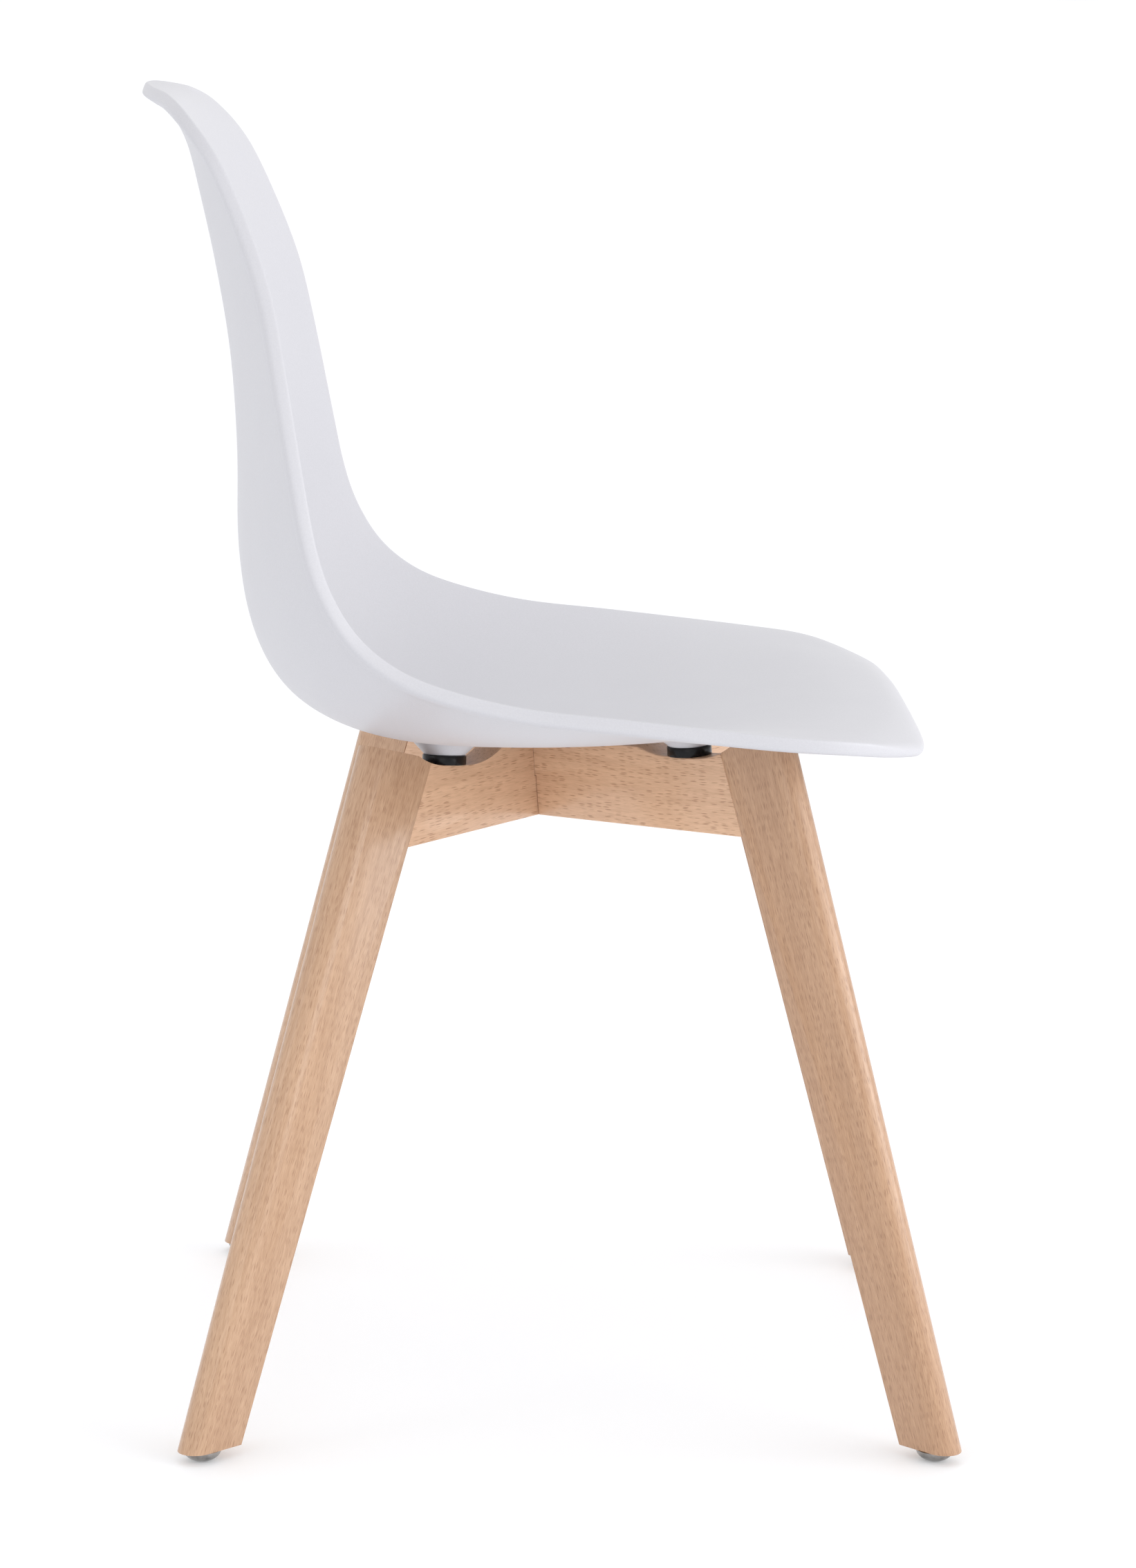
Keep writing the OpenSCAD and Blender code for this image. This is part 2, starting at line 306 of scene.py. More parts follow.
shell = {
    # middle line's y and z, rim's x, y and z, and how squarely the section dips, in mm
    "stations": [
        (-230.2, 424.0, 163, -222, 427.8, 4.5), (-226.0, 430.5, 196, -204, 432.5, 2.8),
        (-213.0, 436.0, 221.5, -179, 437.5, 2.4), (-180, 438.5, 232, -144, 440.7, 2.5),
        (-120, 430.0, 235, -98, 445.0, 2.6), (-50, 418.5, 236, -45, 450.0, 2.7),
        (20, 414.0, 236, 8, 455.0, 2.7), (80, 415.0, 236, 52, 464.3, 2.7),
        (125, 425.0, 235, 85, 476.5, 2.6), (158, 445.0, 234, 110, 495.5, 2.4),
        (178, 480.0, 233, 127, 521.0, 2.3), (187, 530.0, 229, 137.5, 550.0, 2.2),
        (188, 590.0, 219, 146, 592.0, 2.1), (192.5, 650.0, 203, 156, 645.0, 2.0),
        (202, 705.0, 181, 167, 696.0, 2.0), (212, 750.0, 164, 184, 741.5, 2.0),
        (219, 779.5, 155, 199, 772.5, 2.1), (227.5, 797.8, 141, 212.5, 789.7, 2.3),
        (236, 805.4, 122, 221, 798.0, 2.5), (244, 808.3, 96, 229, 803.2, 2.6)],
    "rowsBetween": [2, 3, 3, 4, 4, 4, 4, 4, 3, 3, 4, 4, 4, 4, 3, 3, 2, 2, 2],
    "columns": 24,
    "calm": 3,                   # how often the rim's directions are evened out
    "halfWall": 2.5,
    "rimRise": 2.1,              # how much the sitting side rises towards the rim
    "riseRun": 45,
    "ringSteps": (4, 4, 6),      # from the rim inwards
    # the rim's section: outwards, and towards the sitter
    "rimSection": [
        (-4.6, -2.5), (-3.4, -2.6), (-2.8, -3.3), (-2.3, -4.3), (-1.0, -4.7), (1.6, -4.6),
        (3.5, -4.1), (4.5, -2.9), (4.75, -1.0), (4.75, 1.2), (4.7, 3.2), (4.25, 4.3),
        (3.1, 4.65), (0.6, 4.6)],
    # the same section where the seat's front edge rolls over
    "frontSection": [
        (-4.6, -2.5), (-3.4, -2.6), (-2.8, -3.3), (-2.3, -4.3), (-1.0, -4.7), (1.8, -4.5),
        (4.2, -3.8), (5.6, -2.6), (6.3, -1.2), (6.4, 0.4), (5.9, 1.9), (4.8, 3.1),
        (3.0, 4.0), (0.2, 4.6)],
    "rolledTo": 1.7,             # the station where the rolled front ends
    "rollRun": 1.3,              # over how many stations it fades
    "thinFrom": 14,              # the station from which the rim's back thins
    "thinRun": 2,
    "thinBy": 0.25,
    "smooth": 2,
    # how the rings inside the rim are found
    "slopeStep": 0.01,
    "offEnds": 0.3,              # stations left out where the wall's direction is read
    "offRims": 0.95,
    "tries": 14,
    "steady": (4, 40),           # along and across
    "firstGuess": (0.25, 0.97),
}
lastStation = len(shell["stations"]) - 1


def within(value, low, high):
    return max(low, min(high, value))


def easeInOut(part):
    return part * part * (3 - 2 * part)


# A smooth run through the stations, like a spline laid over them
def stationAt(u):
    rows = shell["stations"]
    i = min(int(u), lastStation - 1)
    b, c = rows[i], rows[i + 1]
    a = rows[i - 1] if i > 0 else [2 * p - q for p, q in zip(b, c)]
    d = rows[i + 2] if i < lastStation - 1 else [2 * q - p for p, q in zip(b, c)]
    t = u - i
    return [0.5 * (2 * q + (r - p) * t + (2 * p - 5 * q + 4 * r - s) * t * t
                   + (3 * q - p - 3 * r + s) * t ** 3)
            for p, q, r, s in zip(a, b, c, d)]


# The middle of the wall in mm, at row u and at v, from -1 at one rim to 1 at the other
def midWall(u, v):
    midY, midZ, rimX, rimY, rimZ, square = stationAt(u)
    rise = abs(v) ** square
    y = midY + (rimY - midY) * rise + joinery["crossing"][1] / mm
    return Vector((rimX * v, y, midZ + (rimZ - midZ) * rise))


def slopes(u, v):
    small = shell["slopeStep"]
    u0, u1 = max(u - small, 0), min(u + small, lastStation)
    v0, v1 = max(v - small, -1), min(v + small, 1)
    along = (midWall(u1, v) - midWall(u0, v)) / (u1 - u0)
    across = (midWall(u, v1) - midWall(u, v0)) / (v1 - v0)
    return along, across


# The wall's direction towards the sitter
def sittingSide(u, v):
    offEnds, offRims = shell["offEnds"], shell["offRims"]
    along, across = slopes(within(u, offEnds, lastStation - offEnds), within(v, -offRims, offRims))
    return across.cross(along).normalized()


# The row and column whose point lies closest to a target
def closestOn(target, u, v):
    steadyAlong, steadyAcross = shell["steady"]
    for _ in range(shell["tries"]):
        miss = target - midWall(u, v)
        along, across = slopes(u, v)
        aa, bb = along.dot(along) + steadyAlong, across.dot(across) + steadyAcross
        ab, ra, rb = along.dot(across), along.dot(miss), across.dot(miss)
        full = aa * bb - ab * ab
        u = within(u + (ra * bb - rb * ab) / full, 0, lastStation)
        v = within(v + (rb * aa - ra * ab) / full, -1, 1)
    return u, v


def shellRows():
    rows = []
    for i, count in enumerate(shell["rowsBetween"]):
        rows += [i + k / count for k in range(count)]
    return rows + [lastStation]


# The nodes round the edge of a grid, as row and column numbers
def gridEdge(rows, columns):
    edge = [(0, j) for j in range(columns + 1)]
    edge += [(i, columns) for i in range(1, rows + 1)]
    edge += [(rows, j) for j in range(columns - 1, -1, -1)]
    return edge + [(i, 0) for i in range(rows - 1, 0, -1)]


# The loop of points one step further in from the rim
def stepInwards(loop, distance):
    towards, inside = shell["firstGuess"]
    points = [midWall(u, v) for u, v in loop]
    moved = []
    for k, (u, v) in enumerate(loop):
        run = points[(k + 1) % len(loop)] - points[k - 1]
        inward = sittingSide(u, v).cross(run).normalized()
        nudge = towards if u < 1 else -towards if u > lastStation - 1 else 0
        moved.append(closestOn(points[k] + inward * distance, u + nudge, v * inside))
    return moved


# The places inside a loop, blended from its four sides
def fieldInside(edge, loop, rows, columns):
    field = {spot: Vector(place) for spot, place in zip(edge, loop)}
    for i in range(1, rows):
        for j in range(1, columns):
            s, t = i / rows, j / columns
            flat = (field[i, 0] * (1 - t) + field[i, columns] * t
                    + field[0, j] * (1 - s) + field[rows, j] * s)
            corners = ((field[0, 0] * (1 - t) + field[0, columns] * t) * (1 - s)
                       + (field[rows, 0] * (1 - t) + field[rows, columns] * t) * s)
            field[i, j] = flat - corners
    return field


# The rim's direction towards the sitter at each of its points, evened out
def rimFacing(rim, inner):
    count = len(rim)
    facing = [(rim[k] - inner[k]).cross(rim[(k + 1) % count] - rim[k - 1]).normalized()
              for k in range(count)]
    for _ in range(shell["calm"]):
        facing = [(facing[k - 1] + 2 * facing[k] + facing[(k + 1) % count]).normalized()
                  for k in range(count)]
    return facing


def rolled(u):
    return easeInOut(within((shell["rolledTo"] - u) / shell["rollRun"], 0, 1))


def thinner(u):
    return 1 - shell["thinBy"] * within((u - shell["thinFrom"]) / shell["thinRun"], 0, 1)


def makeShell():
    rowsAt = shellRows()
    rows, columns = len(rowsAt) - 1, shell["columns"]
    edge = gridEdge(rows, columns)
    loops = [[(rowsAt[i], 2 * j / columns - 1) for i, j in edge]]
    for distance in shell["ringSteps"]:
        loops.append(stepInwards(loops[-1], distance))
    field = fieldInside(edge, loops[-1], rows, columns)
    rim, inner = ([midWall(u, v) for u, v in loop] for loop in (loops[0], loops[2]))
    facing = rimFacing(rim, inner)
    count = len(rim)
    cage = bmesh.new()

    # a point of the wall's face: side is 1 towards the sitter and -1 away
    def wallPoint(u, v, side):
        point, lift = midWall(u, v), shell["halfWall"]
        if side > 0:
            nearest = min((point - p).length for p in rim)
            lift += shell["rimRise"] * easeInOut(max(0, 1 - nearest / shell["riseRun"]))
        return cage.verts.new((point + sittingSide(u, v) * side * lift) * mm)

    def sheet(side):
        spots = {key: wallPoint(u, v, side) for key, (u, v) in field.items()}
        for i in range(rows):
            for j in range(columns):
                face = [spots[i, j], spots[i, j + 1], spots[i + 1, j + 1], spots[i + 1, j]]
                cage.faces.new(face if side > 0 else face[::-1])
        return [spots[key] for key in edge]

    def innerRing(side, loop):
        return [wallPoint(u, v, side) for u, v in loop]

    def rimRing(crisp, soft):
        ring = []
        for k, normal in enumerate(facing):
            row = loops[0][k][0]
            out, up = (a + (b - a) * rolled(row) for a, b in zip(crisp, soft))
            if up < 0:
                up *= thinner(row)
            outward = (rim[(k + 1) % count] - rim[k - 1]).cross(normal).normalized()
            ring.append(cage.verts.new((rim[k] + outward * out + normal * up) * mm))
        return ring

    rings = [sheet(1)] + [innerRing(1, loops[n]) for n in (2, 1)]
    sections = zip(reversed(shell["rimSection"]), reversed(shell["frontSection"]))
    rings += [rimRing(crisp, soft) for crisp, soft in sections]
    rings += [innerRing(-1, loops[2]), sheet(-1)]
    for outer, inside in zip(rings[1:], rings):
        for k in range(count):
            n = (k + 1) % count
            cage.faces.new((inside[k], outer[k], outer[n], inside[n]))
    mesh = bpy.data.meshes.new("seatShell")
    bmesh.ops.recalc_face_normals(cage, faces=cage.faces)
    cage.to_mesh(mesh)
    cage.free()
    piece = bpy.data.objects.new("seatShell", mesh)
    bpy.context.scene.collection.objects.link(piece)
    onlyPick(piece)
    finer = piece.modifiers.new("finer", "SUBSURF")
    finer.levels = finer.render_levels = shell["smooth"]
    bpy.ops.object.modifier_apply(modifier=finer.name)
    bpy.ops.object.shade_smooth()
    return piece


boss = {
    "radius": 13.2 * mm,
    "flare": {"front": 9.4 * mm, "rear": 12.2 * mm},   # how far it widens on its way up
    "neck": 0.6 * mm,
    "round": 0.8 * mm,
    "foot": [(0, -1), (0.15, -0.45), (0.5, -0.1), (1, 0.3)],   # up and out, in rounds
    "points": 64,
}


# A disc drawn upwards step by step, each step a height and a radius
def drawnUp(name, steps, points):
    pickNothing()
    height, radius = steps[0]
    bpy.ops.mesh.primitive_circle_add(vertices=points, radius=radius, fill_type="NGON",
                                      location=(0, 0, height))
    piece = bpy.context.object
    piece.name = piece.data.name = name
    keepPlace()
    startEdit(piece, "FACE")
    bpy.ops.mesh.select_all(action="SELECT")
    for nextHeight, nextRadius in steps[1:]:
        rise, grow = nextHeight - height, nextRadius / radius
        bpy.ops.mesh.extrude_region_move(TRANSFORM_OT_translate={"value": (0, 0, rise)})
        bpy.ops.transform.resize(value=(grow, grow, 1), center_override=(0, 0, nextHeight))
        height, radius = nextHeight, nextRadius
    bpy.ops.mesh.select_all(action="SELECT")
    bpy.ops.mesh.normals_make_consistent(inside=False)
    endEdit()
    bpy.ops.object.shade_smooth_by_angle(angle=smoothUnder)
    return piece


def makeBoss(name):
    flare, radius, edge = boss["flare"][endOf(name)], boss["radius"], boss["round"]
    steps = [(edge * up, radius + edge * out) for up, out in boss["foot"]]
    return drawnUp("boss", steps + [(boss["neck"] + flare, radius + flare)], boss["points"])


def joinShell():
    piece = makeShell()
    for name in arms:
        knob = makeBoss(name)
        knob.matrix_world = fixingPlace(name, joinery["spacerThick"])
        onlyPick(knob)
        keepPlace()
        joinTo(piece, knob)
    settle(piece, unmoved, "shell_plastic", "seat_shell")
    return piece


seatShell = joinShell()
print("shell:", len(seatShell.data.polygons), "faces")

# The two boards

timber = {"eased": 0.9 * mm, "steps": 3, "easedOver": 32}
beam = {
    "spare": 20 * mm,                    # before its ends are cut
    "lapSlip": 0.1 * mm,
    "lapGap": 0.35 * mm,
    "lapClear": 10 * mm,                 # how far the lap's cutter stands out
    "washerPocket": (7.5 * mm, 18 * mm, 48),   # radius, length and points
    "screwHole": (3.5 * mm, 120 * mm, 24),
    "lapPocket": (5 * mm, 7.2 * mm, 32),
}
scoop = {"points": 160, "wide": 3}       # wide counts in board thicknesses
acrossFrom = {"rear_right": "front_left", "rear_left": "front_right"}


def addBlock(name, low, high):
    pickNothing()
    middle = [(a + b) / 2 for a, b in zip(low, high)]
    size = [b - a for a, b in zip(low, high)]
    bpy.ops.mesh.primitive_cube_add(size=1, location=middle, scale=size)
    piece = bpy.context.object
    piece.name = piece.data.name = name
    keepPlace()
    return piece


def addRod(radius, length, points, place):
    pickNothing()
    bpy.ops.mesh.primitive_cylinder_add(vertices=points, radius=radius, depth=length)
    rod = bpy.context.object
    rod.matrix_world = place
    keepPlace()
    return rod


# The hollow round a seat fixing. back takes the room's frame to the piece's own
def cutScoop(piece, name, back):
    radius, flat = armSide(name)["scoop"]
    middle, length = back @ fixingPlace(name, radius), scoop["wide"] * joinery["boardThick"]
    first, second = (addRod(radius, length, scoop["points"],
                            middle @ shiftBy(side * flat, 0, 0) @ turnBy(90, "X"))
                     for side in (-1, 1))
    joinTo(first, second)
    startEdit(first)
    bpy.ops.mesh.select_all(action="SELECT")
    bpy.ops.mesh.convex_hull(join_triangles=True)
    endEdit()
    cutAway(piece, first)


def makeBeam(name, rear, lapLow, lapHigh, shift):
    thick, tall = joinery["boardThick"], joinery["beamTall"]
    back = armPlace(rear).inverted()
    ends = {1: rear, -1: acrossFrom[rear]}
    reach = {sign: armSide(arm)["reach"] + beam["spare"] for sign, arm in ends.items()}
    piece = addBlock(name, (-reach[-1], -thick / 2, 0), (reach[1], thick / 2, tall))
    for sign, arm in ends.items():
        side = armSide(arm)
        splay = math.radians(side["splay"])
        sliceOff(piece, (sign * side["reach"], 0, 0), (sign * math.cos(splay), 0, math.sin(splay)))
        cutScoop(piece, arm, back)
    half = thick / 2 + beam["lapGap"]
    cutAway(piece, addBlock("lap", (-half, -thick, lapLow), (half, thick, lapHigh)))
    for arm in ends.values():
        foot = back @ fixingPlace(arm, -armSide(arm)["seatUp"])
        cutAway(piece, addRod(*beam["washerPocket"], foot))
        cutAway(piece, addRod(*beam["screwHole"], foot))
    cutAway(piece, addRod(*beam["lapPocket"], unmoved))
    easeEdges(piece, timber["eased"], timber["steps"], timber["easedOver"])
    keepBoardPlace(piece, "X", shift)
    settle(piece, armPlace(rear), "beech", "beam_" + rear)
    return piece


lapMiddle = joinery["beamTall"] / 2
lapTop = joinery["beamTall"] + beam["lapClear"]
lapUpTo = lapMiddle + beam["lapSlip"]
# where each board's figure lies in the timber
upperShift, lowerShift = (0.31, 0.013, 0.02), (1.72, 0.131, 0.05)
beams = [
    makeBeam("beamRearRight", "rear_right", lapMiddle, lapTop, upperShift),
    makeBeam("beamRearLeft", "rear_left", -beam["lapClear"], lapUpTo, lowerShift),
]
print("beams:", [len(b.data.polygons) for b in beams])

# The four legs

leg = {
    "long": 465 * mm,
    "above": 95 * mm,
    "inwards": 20 * mm,          # all three before the cuts
    "edgeReach": 1 * mm,         # how near the deep side an edge lies to be rounded
    "roundSteps": 14,
    "roundShort": 0.02 * mm,     # keeps the half-round just short of closing
}
# where each leg's figure lies in the timber
legShifts = {"rear_right": (0.05, 0.2, 0.3), "rear_left": (2.1, 0.5, 0.11),
             "front_right": (3.4, 0.82, 0.23), "front_left": (4.9, 1.1, 0.43)}


def makeLeg(name, shift):
    side = armSide(name)
    thick, deep = joinery["boardThick"], joinery["legDeep"]
    barPlace = legPlace(name) @ turnBy(joinery["legTaper"], "Y")
    back = barPlace.inverted()
    piece = addBlock("beechLeg_" + name, (-leg["inwards"], -thick / 2, -leg["long"]),
                     (deep, thick / 2, leg["above"]))
    startEdit(piece, "EDGE")
    outer = deep - leg["edgeReach"]
    pickEdges(piece, lambda middle, run: middle.x > outer and abs(run.z) > thick)
    bpy.ops.mesh.bevel(offset=thick / 2 - leg["roundShort"], offset_type="OFFSET",
                       segments=leg["roundSteps"], affect="EDGES")
    endEdit()

    def cutPlane(place, point, normal):
        turned = back @ place
        sliceOff(piece, turned @ Vector(point), (turned.to_3x3() @ Vector(normal)).normalized())

    cutPlane(legPlace(name), (0, 0, 0), (-1, 0, 0))
    cutPlane(unmoved, (0, 0, joinery["footUp"]), (0, 0, -1))
    x, z, slope = side["legTop"]
    cutPlane(armPlace(name) @ shiftBy(x, 0, z) @ turnBy(-slope, "Y"), (0, 0, 0), (0, 0, 1))
    cutScoop(piece, name, back)
    easeEdges(piece, timber["eased"], timber["steps"], timber["easedOver"])
    keepBoardPlace(piece, "Z", shift)
    settle(piece, barPlace, "beech", "leg_" + name)
    return piece


legs = {name: makeLeg(name, legShifts[name]) for name in arms}
print("legs:", [len(p.data.polygons) for p in legs.values()])

# The rubber rings between boards and shell

spacer = {
    "radius": 13.75 * mm,
    "round": 0.5 * mm,
    "hole": (4 * mm, 18 * mm, 32),       # radius, length and points
    "corner": [(0, -1), (0.3, -0.3), (1, 0)],   # up and out, in rounds
    "points": 72,
}


def makeSpacer(name):
    radius, tall, edge = spacer["radius"], joinery["spacerThick"], spacer["round"]
    low = [(edge * up, radius + edge * out) for up, out in spacer["corner"]]
    high = [(tall - height, r) for height, r in reversed(low)]
    piece = drawnUp("rubberRing_" + name, low + high, spacer["points"])
    cutAway(piece, addRod(*spacer["hole"], unmoved))
    bpy.ops.object.shade_smooth_by_angle(angle=smoothUnder)
    settle(piece, fixingPlace(name), "spacer_rubber", "spacer_" + name)
    return piece


spacers = [makeSpacer(name) for name in arms]
print("spacers:", len(spacers))

# The glides under the feet

glide = {
    "radius": 11.5 * mm,
    "tall": 7 * mm,
    "flatTo": 18,                # degrees of the dome left flat where it stands
    "steps": 12,
    "shoulder": 0.1 * mm,
    "nail": 1.5 * mm,
    "nailTall": 19 * mm,
    "points": 64,
}


# A pressed dome on a nail, drawn up from the small flat it stands on
def makeGlide(name):
    low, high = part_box("glide_" + name)
    tall, nail, first = glide["tall"], glide["nail"], math.radians(glide["flatTo"])
    steps = []
    for k in range(glide["steps"] + 1):
        turn = first + (math.pi / 2 - first) * k / glide["steps"]
        height = tall * (math.cos(first) - math.cos(turn)) / math.cos(first)
        steps.append((height, glide["radius"] * math.sin(turn)))
    steps += [(tall + glide["shoulder"], nail), (tall + glide["nailTall"], nail)]
    piece = drawnUp("domedGlide_" + name, steps, glide["points"])
    middle = (low + high) / 2
    settle(piece, shiftBy(middle.x, middle.y, 0), "glide_nickel", "glide_" + name)
    return piece


glides = [makeGlide(name) for name in arms]
print("glides:", len(glides))

# Materials


def newMaterial(name, colour, roughness):
    material = bpy.data.materials.new(name)
    material.use_nodes = True
    shader = material.node_tree.nodes["Principled BSDF"]
    shader.inputs["Base Color"].default_value = (*colour, 1)
    shader.inputs["Roughness"].default_value = roughness
    return material, material.node_tree, shader


# Adds a node, sets its properties and inputs, and links each input that is given a socket
def addNode(tree, kind, props=None, **inputs):
    added = tree.nodes.new("ShaderNode" + kind)
    for key, value in (props or {}).items():
        setattr(added, key, value)
    for key, value in inputs.items():
        socket = added.inputs[int(key[1:]) if key[0] == "_" else key.replace("_", " ")]
        if isinstance(value, bpy.types.NodeSocket):
            tree.links.new(value, socket)
        else:
            socket.default_value = value
    return added


def mathNode(tree, operation, a, b=0.0, c=0.0):
    return addNode(tree, "Math", {"operation": operation}, _0=a, _1=b, _2=c).outputs[0]


def mixColour(tree, factor, a, b):
    return addNode(tree, "Mix", {"data_type": "RGBA", "clamp_factor": False},
                   _0=factor, _6=a, _7=b).outputs[2]


def rangeNode(tree, value, low, high, toLow=0.0, toHigh=1.0):
    return addNode(tree, "MapRange", None, Value=value, From_Min=low, From_Max=high,
                   To_Min=toLow, To_Max=toHigh).outputs[0]


def stretched(tree, vector, scale):
    return addNode(tree, "Mapping", None, Vector=vector, Scale=scale).outputs[0]


def noiseNode(tree, vector, scale, **others):
    return addNode(tree, "TexNoise", None, Vector=vector, Scale=scale, **others)


# Makes a group from its inputs' starting values: a colour has four numbers, a value one
def newGroup(name, starts):
    tree = bpy.data.node_groups.new(name, "ShaderNodeTree")
    for label, start in starts.items():
        kind = "NodeSocketColor" if isinstance(start, tuple) else "NodeSocketFloat"
        socket = tree.interface.new_socket(label, in_out="INPUT", socket_type=kind)
        socket.default_value = start
    for label, kind in (("Color", "Color"), ("Roughness", "Float"), ("Height", "Float")):
        tree.interface.new_socket(label, in_out="OUTPUT", socket_type="NodeSocket" + kind)
    given = tree.nodes.new("NodeGroupInput")
    return tree, given.outputs, tree.nodes.new("NodeGroupOutput").inputs


# Places a group in a material, with its own values and with its outputs on the shader
def useGroup(tree, shader, group, values, bump):
    placed = tree.nodes.new("ShaderNodeGroup")
    placed.node_tree = group
    for label, value in values.items():
        placed.inputs[label].default_value = value
    strength, depth = bump
    bumped = addNode(tree, "Bump", None, Height=placed.outputs["Height"], Strength=strength,
                     Distance=depth)
    tree.links.new(placed.outputs["Color"], shader.inputs["Base Color"])
    tree.links.new(placed.outputs["Roughness"], shader.inputs["Roughness"])
    tree.links.new(bumped.outputs[0], shader.inputs["Normal"])


beech = {
    # each pattern's scales along and across the board
    "sway": (5, 14, 14),
    "swayBy": (0.0, 0.012, 0.012),
    "bands": (1.6, 60, 60),
    "streaks": (14, 260, 260),
    "fibres": (110, 1500, 1500),
    "flecks": (115, 1000, 1000),
    "fleckEdge": (0.46, 0.24),   # from outside a fleck to inside
    "fleckShare": (0.30, 0.75),  # from the cells left out to the darkest
    "noiseSpread": (0.3, 0.7),
    "middleTone": 0.35,
    "streakTone": 0.18,
    "toneLimits": (-0.15, 1.15),
    "noiseRoughness": 0.55,
    "roughness": (0.30, 0.16),   # at the least, and what the fibres add
    "plainRoughness": 0.4,       # where the figure isn't read
    "fleckDepth": -0.6,
    "fibreDepth": 0.6,
    "bump": (0.35, 0.12 * mm),
    "coat": 0.45,
    "coatRoughness": 0.16,
}


# Beech: broad soft bands, fine fibre along the board, and short dark flecks
def beechFigure():
    tree, given, result = newGroup("beechFigure", {
        "Light": (0.70, 0.50, 0.35, 1), "Dark": (0.52, 0.33, 0.21, 1),
        "Fleck": (0.34, 0.17, 0.09, 1), "Bands": 0.5, "Fleck Amount": 0.6, "Fleck Scale": 1.0,
        "Fibre": 0.5})
    place = addNode(tree, "Attribute", {"attribute_name": "boardPlace"}).outputs["Vector"]
    sway = noiseNode(tree, stretched(tree, place, beech["sway"]), 1.0, Detail=1.0)
    swayed = addNode(tree, "VectorMath", {"operation": "MULTIPLY_ADD"}, _0=sway.outputs["Color"],
                     _1=beech["swayBy"], _2=place).outputs[0]

    def figure(scale):
        return noiseNode(tree, stretched(tree, swayed, scale), 1.0, Detail=2.0,
                         Roughness=beech["noiseRoughness"]).outputs[0]

    def around(noise, half):
        return rangeNode(tree, noise, *beech["noiseSpread"], -half, half)

    band, streak, fibre = (figure(beech[k]) for k in ("bands", "streaks", "fibres"))
    sized = addNode(tree, "VectorMath", {"operation": "SCALE"}, _0=swayed,
                    Scale=given["Fleck Scale"])
    cells = addNode(tree, "TexVoronoi", {"feature": "F1"}, Scale=1.0, Randomness=1.0,
                    Vector=stretched(tree, sized.outputs[0], beech["flecks"]))
    chance = addNode(tree, "SeparateColor", None, Color=cells.outputs["Color"]).outputs[0]
    fleck = mathNode(tree, "MULTIPLY",
                     rangeNode(tree, cells.outputs["Distance"], *beech["fleckEdge"]),
                     rangeNode(tree, chance, *beech["fleckShare"]))
    tone = mathNode(tree, "MULTIPLY_ADD", around(band, 0.5), given["Bands"], beech["middleTone"])
    tone = mathNode(tree, "MULTIPLY_ADD", around(fibre, 0.5), given["Fibre"], tone)
    tone = mathNode(tree, "ADD", around(streak, beech["streakTone"]), tone)
    lowest, highest = beech["toneLimits"]
    tone = mathNode(tree, "MAXIMUM", mathNode(tree, "MINIMUM", tone, highest), lowest)
    wood = mixColour(tree, tone, given["Light"], given["Dark"])
    flecked = mathNode(tree, "MULTIPLY", fleck, given["Fleck Amount"])
    tree.links.new(mixColour(tree, flecked, wood, given["Fleck"]), result["Color"])
    smoothest, added = beech["roughness"]
    tree.links.new(mathNode(tree, "MULTIPLY_ADD", fibre, added, smoothest), result["Roughness"])
    raised = mathNode(tree, "MULTIPLY", fibre, beech["fibreDepth"])
    height = mathNode(tree, "MULTIPLY_ADD", fleck, beech["fleckDepth"], raised)
    tree.links.new(height, result["Height"])
    return tree


moulded = {
    "pebbleDetail": 2.0,
    "cloudScale": 22.0,
    "cloudDetail": 3.0,
    "cloudShade": 0.02,
    "cloudRoughness": 0.12,
    "bump": 0.3,
}


# Fine moulded texture: a pebbled height and a mottle, on object coordinates. The mottle is slight
# random tone on most finishes; on the glides it is strong and paints patchy reflections
def mouldedGrain():
    tree, given, result = newGroup("mouldedGrain", {
        "Colour": (0.7, 0.7, 0.73, 1), "Size": 1400.0, "Mottle And Painted Reflection": 0.03, "Base Roughness": 0.42})
    place = addNode(tree, "TexCoord").outputs["Object"]
    pebble = noiseNode(tree, place, given["Size"], Detail=moulded["pebbleDetail"]).outputs[0]
    cloud = noiseNode(tree, place, moulded["cloudScale"],
                      Detail=moulded["cloudDetail"]).outputs[0]
    fromPebble, fromCloud = (mathNode(tree, "SUBTRACT", noise, 0.5) for noise in (pebble, cloud))
    # a strong mottle, as on the glides, turns this into a painted reflection pattern
    shade = mathNode(tree, "MULTIPLY_ADD", fromPebble, given["Mottle And Painted Reflection"], 1.0)
    shade = mathNode(tree, "MULTIPLY_ADD", fromCloud, moulded["cloudShade"], shade)
    tint = addNode(tree, "VectorMath", {"operation": "SCALE"}, _0=given["Colour"], Scale=shade)
    rough = mathNode(tree, "MULTIPLY_ADD", fromCloud, moulded["cloudRoughness"],
                     given["Base Roughness"])
    tree.links.new(tint.outputs[0], result["Color"])
    tree.links.new(rough, result["Roughness"])
    tree.links.new(pebble, result["Height"])
    return tree


beechGroup, mouldedGroup = beechFigure(), mouldedGrain()


def beechMaterial(name, light, dark, fleck, bands, flecks, size, fibre):
    material, tree, shader = newMaterial(name, light, beech["plainRoughness"])
    values = {"Light": (*light, 1), "Dark": (*dark, 1), "Fleck": (*fleck, 1), "Bands": bands,
              "Fleck Amount": flecks, "Fleck Scale": size, "Fibre": fibre}
    useGroup(tree, shader, beechGroup, values, beech["bump"])
    shader.inputs["Coat Weight"].default_value = beech["coat"]
    shader.inputs["Coat Roughness"].default_value = beech["coatRoughness"]
    return material


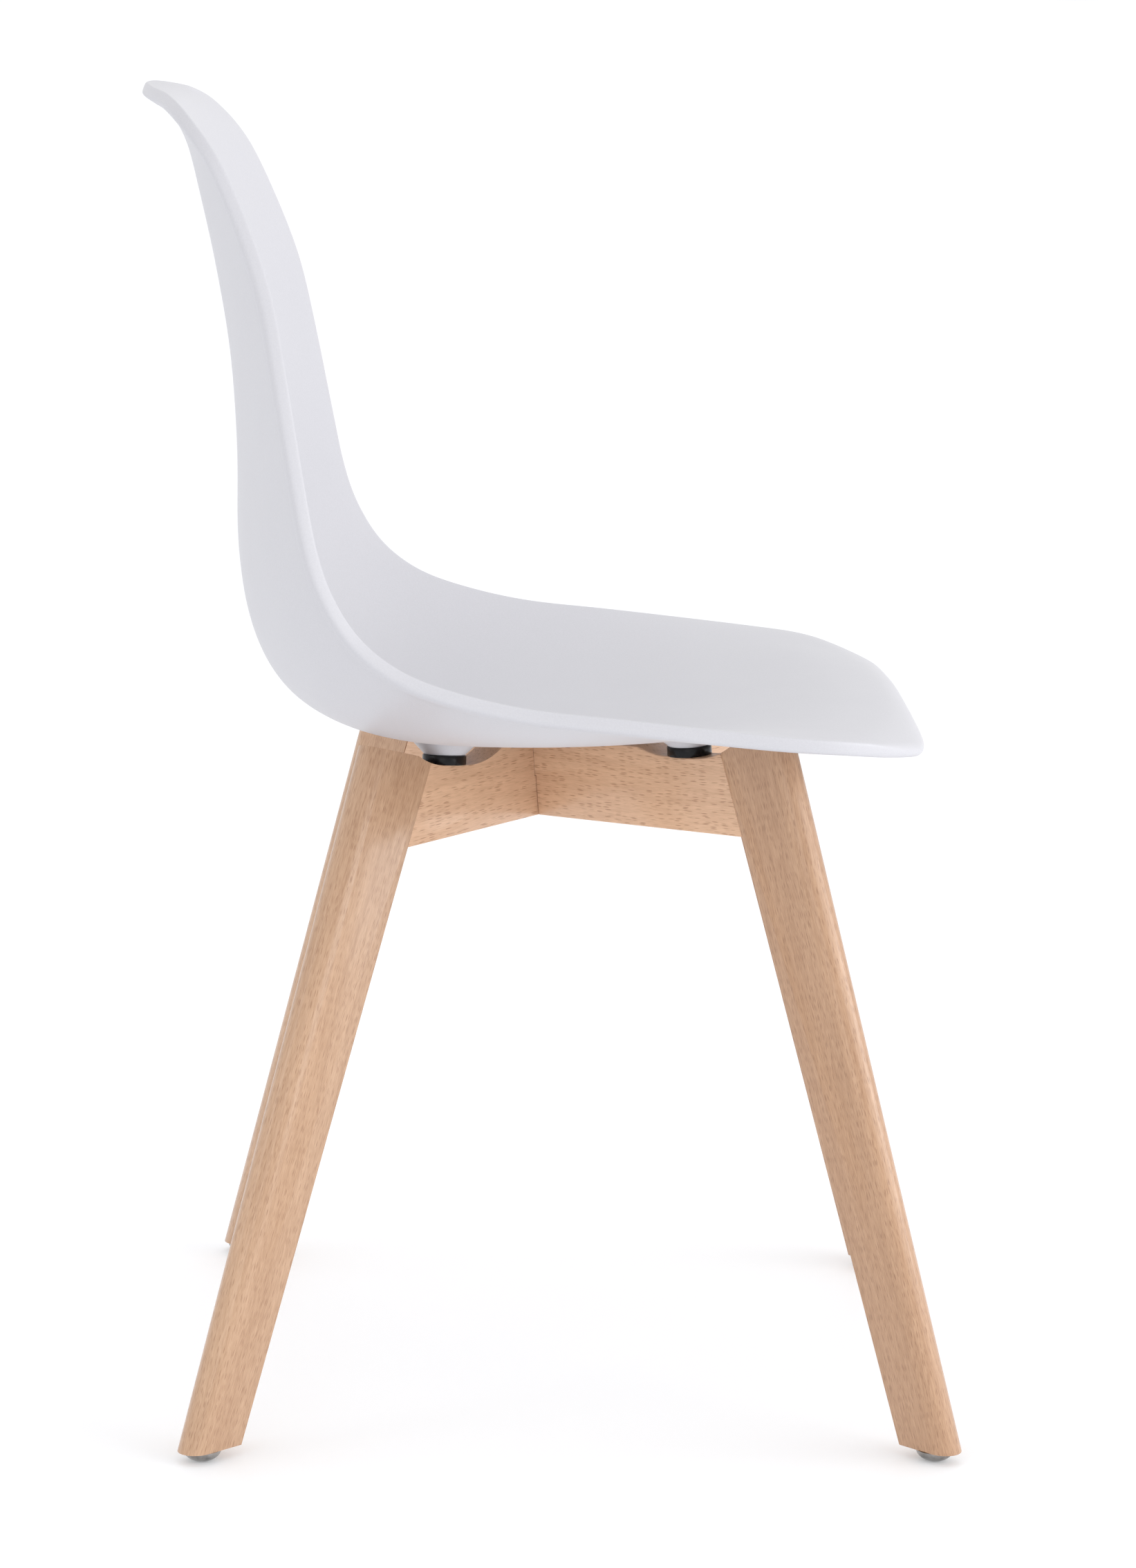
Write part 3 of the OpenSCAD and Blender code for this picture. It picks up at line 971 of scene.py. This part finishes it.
def mouldedMaterial(name, colour, size, mottleAndPaintedReflection, roughness, depth, metallic=0.0, gloss=0.5):
    material, tree, shader = newMaterial(name, colour, roughness)
    shader.inputs["Metallic"].default_value = metallic
    shader.inputs["Specular IOR Level"].default_value = gloss
    values = {"Colour": (*colour, 1), "Size": size, "Mottle And Painted Reflection": mottleAndPaintedReflection,
              "Base Roughness": roughness}
    useGroup(tree, shader, mouldedGroup, values, (moulded["bump"], depth))
    return material


# One beech in three copies whose tones differ only for how light falls: the beams lighter, the
# front legs darker than the rear legs. These differences are painted light and shade.
timbers = {
    "rearBeechPaintedShading": {"light": (0.57, 0.36, 0.225), "dark": (0.40, 0.224, 0.125),
                  "fleck": (0.33, 0.17, 0.09), "bands": 0.3, "flecks": 0.7, "size": 1.3,
                  "fibre": 0.7},
    "frontBeechPaintedShading": {"light": (0.54, 0.328, 0.198), "dark": (0.38, 0.207, 0.112),
                   "fleck": (0.29, 0.145, 0.075), "bands": 0.35, "flecks": 0.7, "size": 1.4,
                   "fibre": 0.7},
    "beamBeechPaintedShading": {"light": (0.745, 0.478, 0.305), "dark": (0.55, 0.322, 0.192),
                  "fleck": (0.38, 0.195, 0.105), "bands": 0.4, "flecks": 0.75, "size": 1.15,
                  "fibre": 0.5},
}
finishes = {
    "shellPlastic": {"colour": (0.575, 0.572, 0.606), "size": 1000, "mottleAndPaintedReflection": 0.11,
                     "roughness": 0.42, "depth": 0.06 * mm},
    "spacerRubber": {"colour": (0.006, 0.006, 0.007), "size": 2200, "mottleAndPaintedReflection": 0.2,
                     "roughness": 0.24, "depth": 0.01 * mm, "gloss": 0.22},
    # The glides' metal is darkened and given a strong coarse mottle: painted dark and bright
    # reflections on the domes.
    "glideNickelPaintedReflection": {"colour": (0.31, 0.30, 0.29), "size": 140, "mottleAndPaintedReflection": 1.9,
                    "roughness": 0.17, "depth": 0.03 * mm, "metallic": 1.0},
    "zincSteel": {"colour": (0.58, 0.59, 0.60), "size": 900, "mottleAndPaintedReflection": 0.15,
                  "roughness": 0.34, "depth": 0.03 * mm, "metallic": 1.0},
    "insertBrass": {"colour": (0.72, 0.55, 0.26), "size": 900, "mottleAndPaintedReflection": 0.12,
                    "roughness": 0.32, "depth": 0.03 * mm, "metallic": 1.0},
    "dowelBeechPaintedShading": {"colour": (0.66, 0.46, 0.30), "size": 800, "mottleAndPaintedReflection": 0.3,
                   "roughness": 0.6, "depth": 0.1 * mm},
}
looks = {name: beechMaterial(name, **values) for name, values in timbers.items()}
looks.update({name: mouldedMaterial(name, **values) for name, values in finishes.items()})


def dress(piece, look):
    piece.data.materials.clear()
    piece.data.materials.append(looks[look])


dress(seatShell, "shellPlastic")
for piece in spacers:
    dress(piece, "spacerRubber")
for piece in glides:
    dress(piece, "glideNickelPaintedReflection")
# The beams and the front and rear legs take the differently toned beech copies: painted light and
# shade.
for piece in beams:
    dress(piece, "beamBeechPaintedShading")
for name, piece in legs.items():
    dress(piece, endOf(name) + "BeechPaintedShading")
for node in ("seat_screws", "screw_washers", "lap_screw"):
    dress(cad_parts[node], "zincSteel")
dress(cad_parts["threaded_inserts"], "insertBrass")
for name in arms:
    dress(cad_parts["dowels_" + name], "dowelBeechPaintedShading")
print("materials are on:", len(looks))
